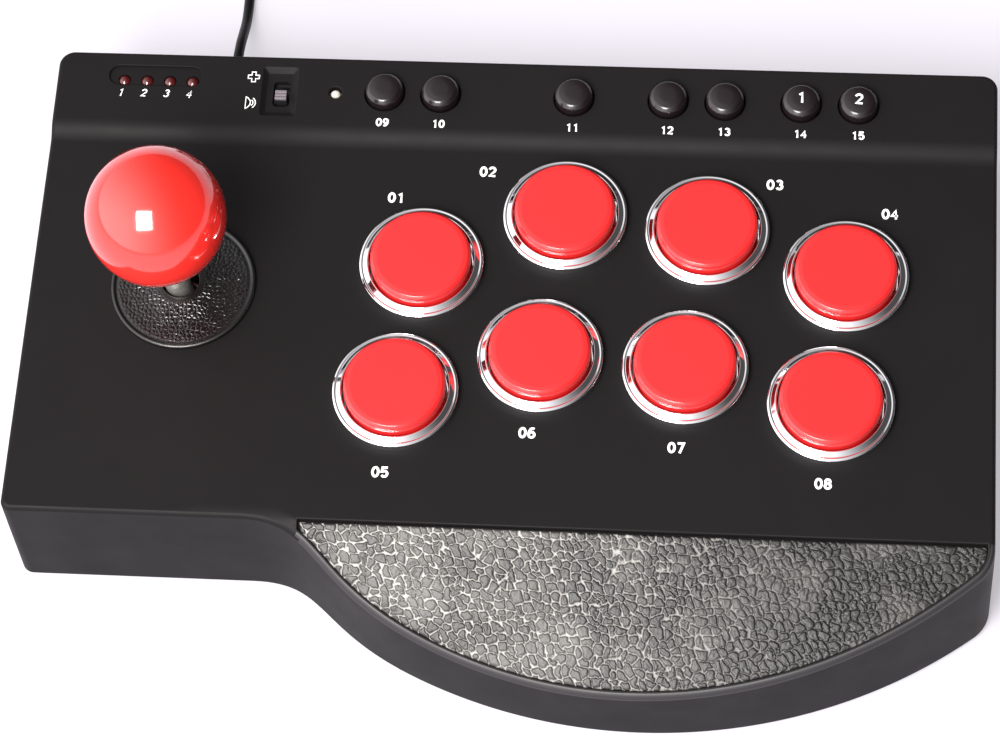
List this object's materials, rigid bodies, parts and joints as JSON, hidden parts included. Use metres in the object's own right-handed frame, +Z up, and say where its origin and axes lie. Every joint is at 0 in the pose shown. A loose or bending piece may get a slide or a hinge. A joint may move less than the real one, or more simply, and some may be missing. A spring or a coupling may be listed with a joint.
{
  "type": "arcade joystick panel",
  "caption": "Low arcade controller: ball-top lever, round chrome-ringed push buttons, a raised strip of function keys, a sloping leather-grain palm rest and a coiled lead.",
  "frame": {"origin": "centre of the footprint at table level, under the housing (lead left out)", "axes": "+X along the long side to the player's right, +Y away from the player, +Z up"},
  "size_m": [0.3166, 0.3359, 0.1212],
  "materials": {
    "shell": "satin black plastic with a fine moulded grain",
    "palm_vinyl": "embossed leather grain, satin with a silvery sheen",
    "red_plastic": "polished red plastic",
    "key_plastic": "glossy black-brown plastic",
    "washer_plastic": "leather-grained black plastic with a smooth rim",
    "chrome": "polished chrome plating",
    "steel": "ground steel",
    "mechanism": "moulded nylon",
    "switch_plastic": "black phenolic",
    "knob_plastic": "pale lilac-grey plastic",
    "board": "green solder mask",
    "red_lens": "tinted red lens",
    "clear_lens": "milky clear lens",
    "rubber": "black rubber",
    "silicone": "pale grey silicone"
  },
  "bodies": {
    "root": {"top_shell": "shell", "palm_pad": "palm_vinyl", "base_cover": "shell", "foot_rear_left": "rubber", "foot_rear_right": "rubber", "foot_front_left": "rubber", "foot_front_right": "rubber", "button_bezel_1": "chrome", "button_switch_1": "switch_plastic", "button_bezel_2": "chrome", "button_switch_2": "switch_plastic", "button_bezel_3": "chrome", "button_switch_3": "switch_plastic", "button_bezel_4": "chrome", "button_switch_4": "switch_plastic", "button_bezel_5": "chrome", "button_switch_5": "switch_plastic", "button_bezel_6": "chrome", "button_switch_6": "switch_plastic", "button_bezel_7": "chrome", "button_switch_7": "switch_plastic", "button_bezel_8": "chrome", "button_switch_8": "switch_plastic", "dome_strip": "silicone", "function_board": "board", "player_light_bar": "red_lens", "indicator_light": "clear_lens", "slide_switch": "steel", "stick_housing": "mechanism", "gate_plate": "steel", "stick_switch_board": "board", "main_board": "board", "cable_gland": "rubber", "cord_lead": "rubber", "cord_coil": "rubber", "cord_tail": "rubber", "usb_plug": "rubber"},
    "plunger_1": {"button_plunger_1": "red_plastic"},
    "plunger_2": {"button_plunger_2": "red_plastic"},
    "plunger_3": {"button_plunger_3": "red_plastic"},
    "plunger_4": {"button_plunger_4": "red_plastic"},
    "plunger_5": {"button_plunger_5": "red_plastic"},
    "plunger_6": {"button_plunger_6": "red_plastic"},
    "plunger_7": {"button_plunger_7": "red_plastic"},
    "plunger_8": {"button_plunger_8": "red_plastic"},
    "key_1": {"function_key_1": "key_plastic"},
    "key_2": {"function_key_2": "key_plastic"},
    "key_3": {"function_key_3": "key_plastic"},
    "key_4": {"function_key_4": "key_plastic"},
    "key_5": {"function_key_5": "key_plastic"},
    "key_6": {"function_key_6": "key_plastic"},
    "key_7": {"function_key_7": "key_plastic"},
    "slide": {"slide_knob": "knob_plastic"},
    "pivot": {"pivot_ring": "mechanism"},
    "stick": {"stick_shaft": "steel", "ball_top": "red_plastic", "actuator": "mechanism", "centring_spring": "steel"},
    "washer_carrier": {"under_washer": "mechanism"},
    "washer": {"dust_washer": "washer_plastic"}
  },
  "joints": [
    {"name": "button_1_press", "type": "slide", "parent": "root", "child": "plunger_1", "axis": [0, 0, -1], "range_m": [0, 0.003], "stiffness_N_per_m": 300, "springref_m": -0.001},
    {"name": "button_2_press", "type": "slide", "parent": "root", "child": "plunger_2", "axis": [0, 0, -1], "range_m": [0, 0.003], "stiffness_N_per_m": 300, "springref_m": -0.001},
    {"name": "button_3_press", "type": "slide", "parent": "root", "child": "plunger_3", "axis": [0, 0, -1], "range_m": [0, 0.003], "stiffness_N_per_m": 300, "springref_m": -0.001},
    {"name": "button_4_press", "type": "slide", "parent": "root", "child": "plunger_4", "axis": [0, 0, -1], "range_m": [0, 0.003], "stiffness_N_per_m": 300, "springref_m": -0.001},
    {"name": "button_5_press", "type": "slide", "parent": "root", "child": "plunger_5", "axis": [0, 0, -1], "range_m": [0, 0.003], "stiffness_N_per_m": 300, "springref_m": -0.001},
    {"name": "button_6_press", "type": "slide", "parent": "root", "child": "plunger_6", "axis": [0, 0, -1], "range_m": [0, 0.003], "stiffness_N_per_m": 300, "springref_m": -0.001},
    {"name": "button_7_press", "type": "slide", "parent": "root", "child": "plunger_7", "axis": [0, 0, -1], "range_m": [0, 0.003], "stiffness_N_per_m": 300, "springref_m": -0.001},
    {"name": "button_8_press", "type": "slide", "parent": "root", "child": "plunger_8", "axis": [0, 0, -1], "range_m": [0, 0.003], "stiffness_N_per_m": 300, "springref_m": -0.001},
    {"name": "key_1_press", "type": "slide", "parent": "root", "child": "key_1", "axis": [0, 0, -1], "range_m": [0, 0.001], "stiffness_N_per_m": 700, "springref_m": -0.0005},
    {"name": "key_2_press", "type": "slide", "parent": "root", "child": "key_2", "axis": [0, 0, -1], "range_m": [0, 0.001], "stiffness_N_per_m": 700, "springref_m": -0.0005},
    {"name": "key_3_press", "type": "slide", "parent": "root", "child": "key_3", "axis": [0, 0, -1], "range_m": [0, 0.001], "stiffness_N_per_m": 700, "springref_m": -0.0005},
    {"name": "key_4_press", "type": "slide", "parent": "root", "child": "key_4", "axis": [0, 0, -1], "range_m": [0, 0.001], "stiffness_N_per_m": 700, "springref_m": -0.0005},
    {"name": "key_5_press", "type": "slide", "parent": "root", "child": "key_5", "axis": [0, 0, -1], "range_m": [0, 0.001], "stiffness_N_per_m": 700, "springref_m": -0.0005},
    {"name": "key_6_press", "type": "slide", "parent": "root", "child": "key_6", "axis": [0, 0, -1], "range_m": [0, 0.001], "stiffness_N_per_m": 700, "springref_m": -0.0005},
    {"name": "key_7_press", "type": "slide", "parent": "root", "child": "key_7", "axis": [0, 0, -1], "range_m": [0, 0.001], "stiffness_N_per_m": 700, "springref_m": -0.0005},
    {"name": "mode_slide", "type": "slide", "parent": "root", "child": "slide", "axis": [0, 1, 0], "range_m": [0, 0.0032]},
    {"name": "stick_forward_back", "type": "hinge", "parent": "root", "child": "pivot", "pos_m": [-0.1075, 0.0211, 0.03], "axis": [1, 0, 0], "range_deg": [-9, 9], "stiffness_Nm_per_rad": 0.5},
    {"name": "stick_left_right", "type": "hinge", "parent": "pivot", "child": "stick", "pos_m": [-0.1075, 0.0211, 0.03], "axis": [0, 1, 0], "range_deg": [-9, 9], "stiffness_Nm_per_rad": 0.5},
    {"name": "washer_forward_back", "type": "slide", "parent": "root", "child": "washer_carrier", "axis": [0, 1, 0], "range_m": [-0.0038, 0.0038]},
    {"name": "washer_left_right", "type": "slide", "parent": "washer_carrier", "child": "washer", "axis": [1, 0, 0], "range_m": [-0.0038, 0.0038]}
  ],
  "couplings": [
    {"joint": "washer_forward_back", "follows": "stick_forward_back", "m_per_rad": -0.0234},
    {"joint": "washer_left_right", "follows": "stick_left_right", "m_per_rad": 0.0234}
  ]
}
